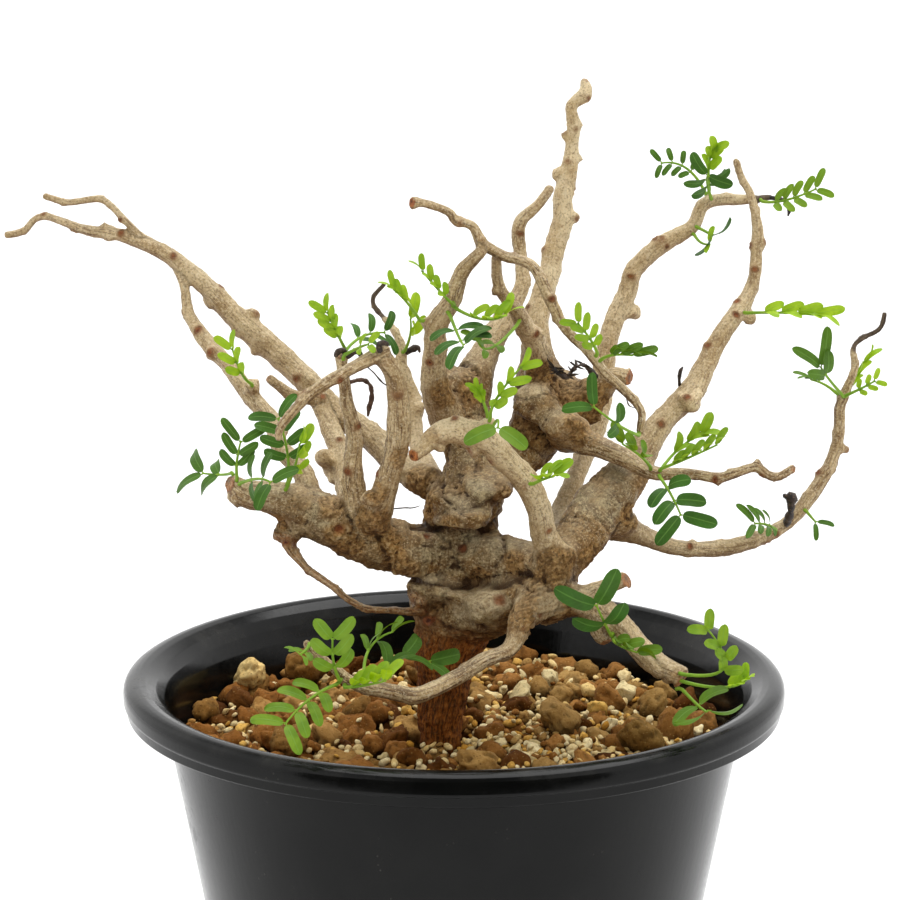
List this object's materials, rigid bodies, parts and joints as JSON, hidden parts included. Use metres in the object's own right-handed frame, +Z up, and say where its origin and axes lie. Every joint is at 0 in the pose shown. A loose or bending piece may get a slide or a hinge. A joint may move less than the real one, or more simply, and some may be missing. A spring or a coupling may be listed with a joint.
{
  "type": "potted caudex plant",
  "caption": "Caudex plant with a gnarled, many-armed trunk and small feathery green leaves, rooted in gravel in a round black plastic pot.",
  "frame": {"origin": "middle of the pot's underside, on the surface it stands on", "axes": "+Z up along the pot's axis, -Y the side the front of the plant faces, +X to the right as seen from the front"},
  "size_m": [0.2026, 0.15, 0.2616],
  "materials": {
    "black_plastic": "smooth moulded black polypropylene with a soft shine, fine scratches and dust",
    "gravel": "loose matt lumps of baked red-brown clay, grey-brown pumice and small cream grit",
    "bark": "pale grey-beige wrinkled bark with brown scars, finely fissured on the twigs and red-brown at the foot",
    "green_leaf": "thin soft leaflets, satin above and paler below, yellow-green when young",
    "dried_husk": "brittle, shrivelled, almost black"
  },
  "bodies": {
    "root": {"dried_flower_stalk": "dried_husk", "dried_spur": "dried_husk", "gravel": "gravel", "leaf_arch_a": "green_leaf", "leaf_arch_b": "green_leaf", "leaf_arch_c": "green_leaf", "leaf_arch_d": "green_leaf", "leaf_back_bright_a": "green_leaf", "leaf_centre_left_a": "green_leaf", "leaf_centre_up_a": "green_leaf", "leaf_centre_up_b": "green_leaf", "leaf_centre_up_c": "green_leaf", "leaf_centre_up_d": "green_leaf", "leaf_crown_a": "green_leaf", "leaf_crown_b": "green_leaf", "leaf_crown_c": "green_leaf", "leaf_crown_d": "green_leaf", "leaf_crown_e": "green_leaf", "leaf_elbow_a": "green_leaf", "leaf_elbow_b": "green_leaf", "leaf_far_right_a": "green_leaf", "leaf_fork_a": "green_leaf", "leaf_fork_b": "green_leaf", "leaf_fork_c": "green_leaf", "leaf_fork_d": "green_leaf", "leaf_knob_a": "green_leaf", "leaf_knob_b": "green_leaf", "leaf_knob_c": "green_leaf", "leaf_left_end_a": "green_leaf", "leaf_left_end_b": "green_leaf", "leaf_left_end_c": "green_leaf", "leaf_left_end_d": "green_leaf", "leaf_left_end_e": "green_leaf", "leaf_left_stem_a": "green_leaf", "leaf_low_front_a": "green_leaf", "leaf_low_front_b": "green_leaf", "leaf_low_front_c": "green_leaf", "leaf_low_front_d": "green_leaf", "leaf_low_front_e": "green_leaf", "leaf_low_front_f": "green_leaf", "leaf_low_right_a": "green_leaf", "leaf_low_right_b": "green_leaf", "leaf_low_right_c": "green_leaf", "leaf_reach_a": "green_leaf", "leaf_reach_b": "green_leaf", "leaf_tip_a": "green_leaf", "leaf_tip_b": "green_leaf", "leaf_tip_c": "green_leaf", "leaf_tip_d": "green_leaf", "leaf_twig_a": "green_leaf", "leaf_twig_b": "green_leaf", "leaf_twig_c": "green_leaf", "leaf_upper_right_a": "green_leaf", "pot": "black_plastic", "wood": "bark"}
  },
  "joints": []
}
